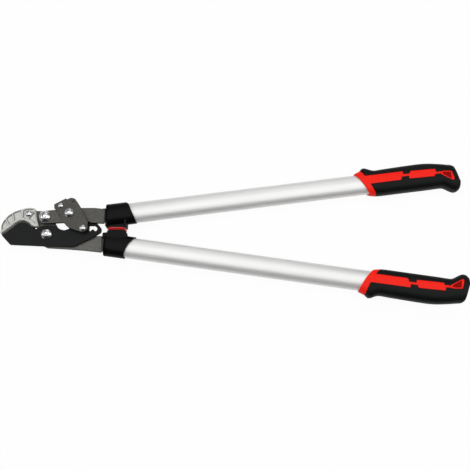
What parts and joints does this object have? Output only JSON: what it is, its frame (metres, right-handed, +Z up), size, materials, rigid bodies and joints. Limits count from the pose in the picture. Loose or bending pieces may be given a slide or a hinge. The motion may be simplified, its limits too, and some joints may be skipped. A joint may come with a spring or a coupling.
{
  "type": "anvil lopper",
  "caption": "Long handled compound anvil lopper with a ratchet link, a curved cast anvil, a black blade, oval tube handles and soft grips.",
  "frame": {"origin": "middle of the underside of the lopper as it lies flat with its blade closed", "axes": "+X from the blade's tip towards the grips, +Y towards the upper handle, +Z up out of the plates' front"},
  "size_m": [0.7236, 0.2244, 0.0305],
  "materials": {
    "steel_plate": "dark satin grey stamped steel plate",
    "cast_anvil": "bright fine blasted casting",
    "bright_screw": "polished bright screw",
    "zinc_steel": "zinc plated steel",
    "anodised_tube": "satin silver anodised tube",
    "black_plastic": "satin black moulded plastic",
    "red_plastic": "orange red hard plastic",
    "black_soft_grip": "soft matt black overmould",
    "red_rubber": "red rubber bumper",
    "black_blade": "black non-stick coating on steel, ground at the edge",
    "bronze_bush": "plain bronze bush",
    "spring_wire": "bright spring wire"
  },
  "bodies": {
    "anvil_handle": {"carrier_plate": "steel_plate", "anvil": "cast_anvil", "anvil_screw": "bright_screw", "anvil_nut": "zinc_steel", "blade_stop_pin": "bright_screw", "blade_pivot_bolt": "bright_screw", "blade_pivot_washer": "zinc_steel", "blade_pivot_nut": "zinc_steel", "lever_pivot_bolt": "bright_screw", "lever_pivot_washer": "zinc_steel", "lever_pivot_nut": "zinc_steel", "lever_pivot_spacer": "zinc_steel", "lower_tang_rivet_1": "zinc_steel", "lower_tang_rivet_2": "zinc_steel", "lower_tube": "anodised_tube", "lower_collar": "black_plastic", "lower_grip_core": "red_plastic", "lower_grip_sleeve": "black_soft_grip"},
    "lever_handle": {"lever_plate": "steel_plate", "lever_bush": "bronze_bush", "upper_tang_rivet_1": "zinc_steel", "upper_tang_rivet_2": "zinc_steel", "upper_tube": "anodised_tube", "upper_collar": "black_plastic", "bumper": "red_rubber", "upper_grip_core": "red_plastic", "upper_grip_sleeve": "black_soft_grip", "link_pivot_bolt": "bright_screw", "link_pivot_spacer": "zinc_steel", "link_pivot_nut": "zinc_steel"},
    "cutting_blade": {"blade": "black_blade", "blade_bush": "bronze_bush"},
    "ratchet_link": {"link_front": "steel_plate", "link_back": "steel_plate", "ratchet_pin": "bright_screw", "ratchet_nut": "zinc_steel", "stop_screw": "bright_screw", "stop_spacer": "zinc_steel", "stop_nut": "zinc_steel", "link_spring": "spring_wire"}
  },
  "joints": [
    {"name": "lever_hinge", "type": "hinge", "parent": "anvil_handle", "child": "lever_handle", "pos_m": [-0.29401, 0.02394, 0.0198], "axis": [0, 0, 1], "range_deg": [0, 60]},
    {"name": "blade_hinge", "type": "hinge", "parent": "anvil_handle", "child": "cutting_blade", "pos_m": [-0.29121, -0.00247, 0.015], "axis": [0, 0, 1], "range_deg": [0, 41]},
    {"name": "link_hinge", "type": "hinge", "parent": "lever_handle", "child": "ratchet_link", "pos_m": [-0.25591, 0.02903, 0.0198], "axis": [0, 0, 1], "range_deg": [-50, 0], "deforming": ["link_spring"]}
  ],
  "couplings": [
    {"joint": "blade_hinge", "follows": "lever_hinge", "ratio": 0.678},
    {"joint": "link_hinge", "follows": "lever_hinge", "ratio": -0.82}
  ]
}
